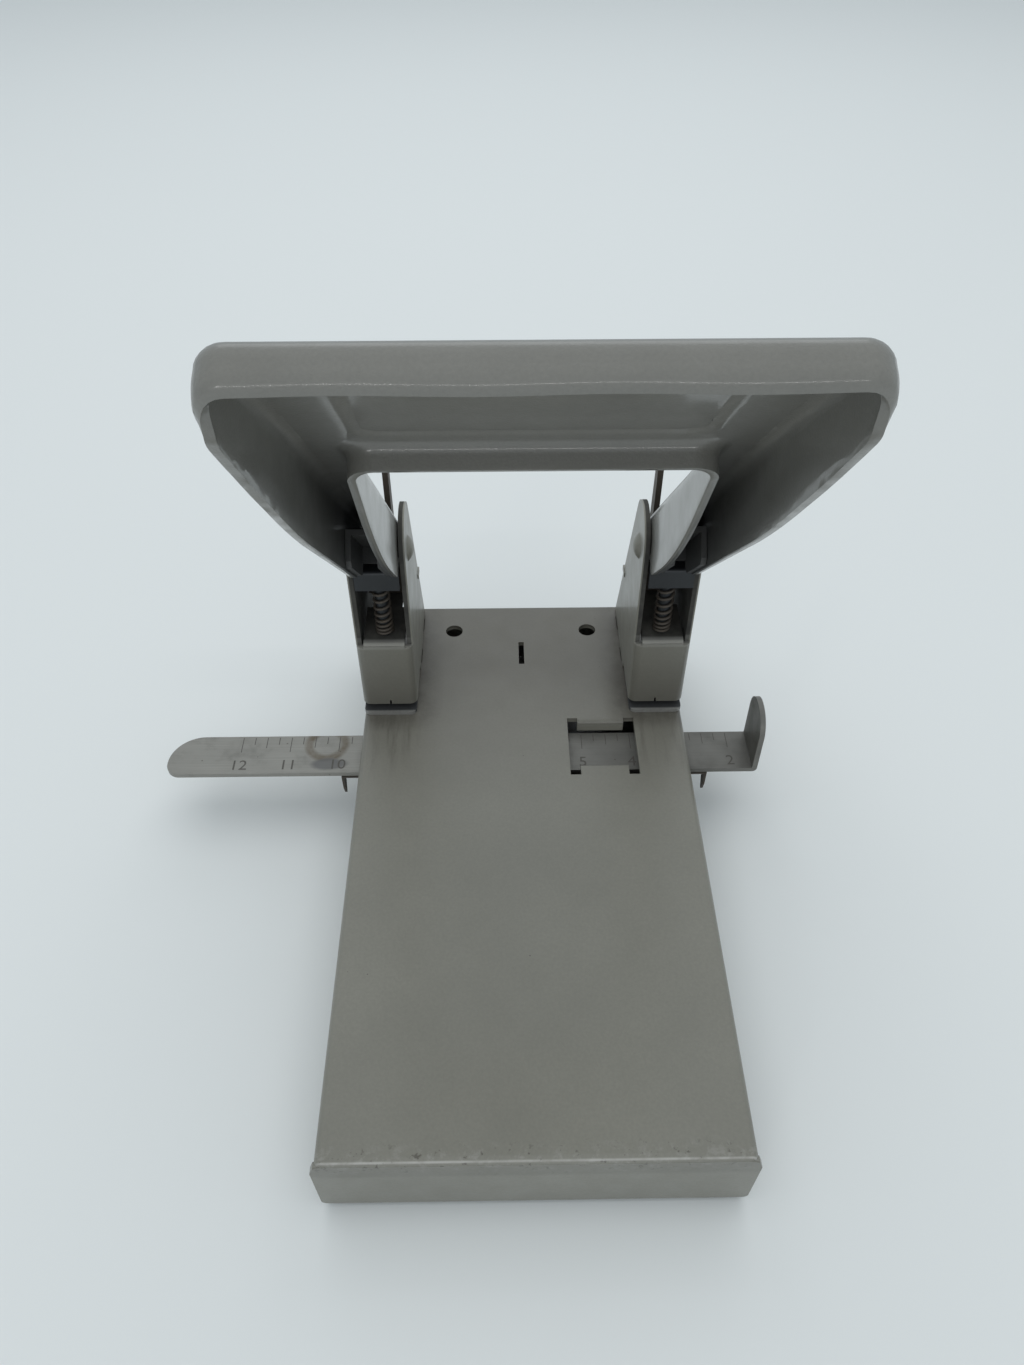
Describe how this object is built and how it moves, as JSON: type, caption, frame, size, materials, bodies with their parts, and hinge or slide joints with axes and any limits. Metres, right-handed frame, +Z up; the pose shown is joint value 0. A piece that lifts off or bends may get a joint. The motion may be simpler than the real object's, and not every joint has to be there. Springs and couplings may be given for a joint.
{
  "type": "hole punch",
  "caption": "Two-hole desk paper punch: folded steel base, twin spring-loaded punch heads, U-shaped press lever and a sliding graduated paper gauge.",
  "frame": {"origin": "centre of the footprint, on the surface that the punch stands on", "axes": "+X to the user's right, +Y towards the back, +Z up; the user stands at -Y"},
  "size_m": [0.1519, 0.162, 0.1649],
  "materials": {
    "lever_enamel": "glossy warm grey enamel with a fine orange-peel texture",
    "base_enamel": "semi-gloss warm grey enamel, slightly duller, worn at the front edge",
    "gauge_steel": "dull plain steel with light stains",
    "tool_steel": "ground tool steel",
    "spring_steel": "oiled spring wire and strip",
    "plain_sheet": "zinc-plated sheet",
    "mat_rubber": "matt black rubber"
  },
  "bodies": {
    "base": {"base_shell": "base_enamel", "left_tray_rail": "plain_sheet", "right_tray_rail": "plain_sheet", "left_die_plate": "tool_steel", "right_die_plate": "tool_steel", "die_rivets": "plain_sheet", "left_head_frame": "base_enamel", "right_head_frame": "base_enamel", "left_guide_plate": "tool_steel", "right_guide_plate": "tool_steel", "left_stop_bracket": "spring_steel", "right_stop_bracket": "spring_steel", "bracket_rivets": "plain_sheet", "left_pivot_rivet": "base_enamel", "right_pivot_rivet": "base_enamel", "left_punch_spring": "spring_steel", "right_punch_spring": "spring_steel", "gauge_leaf_spring": "spring_steel"},
    "handle": {"handle_shell": "lever_enamel", "left_arm_liner": "lever_enamel", "right_arm_liner": "lever_enamel"},
    "left_punch": {"left_punch_pin": "tool_steel", "left_punch_cap": "tool_steel"},
    "right_punch": {"right_punch_pin": "tool_steel", "right_punch_cap": "tool_steel"},
    "gauge": {"gauge_bar": "gauge_steel"},
    "chip_tray": {"chip_tray": "plain_sheet", "rubber_mat": "mat_rubber"}
  },
  "joints": [
    {"name": "handle_press", "type": "hinge", "parent": "base", "child": "handle", "pos_m": [0, 0.0475, 0.068], "axis": [1, 0, 0], "range_deg": [0, 45], "stiffness_Nm_per_rad": 0.8, "springref_deg": -20.05},
    {"name": "left_punch_slide", "type": "slide", "parent": "base", "child": "left_punch", "axis": [0, 0, -1], "range_m": [0, 0.0085], "deforming": ["left_punch_spring"]},
    {"name": "right_punch_slide", "type": "slide", "parent": "base", "child": "right_punch", "axis": [0, 0, -1], "range_m": [0, 0.0085], "deforming": ["right_punch_spring"]},
    {"name": "gauge_slide", "type": "slide", "parent": "base", "child": "gauge", "axis": [1, 0, 0], "range_m": [-0.0135, 0.09]},
    {"name": "tray_slide", "type": "slide", "parent": "base", "child": "chip_tray", "axis": [0, 1, 0], "range_m": [0, 0.12]}
  ],
  "couplings": [
    {"joint": "left_punch_slide", "follows": "handle_press", "m_per_rad": 0.01068},
    {"joint": "right_punch_slide", "follows": "handle_press", "m_per_rad": 0.01068}
  ]
}
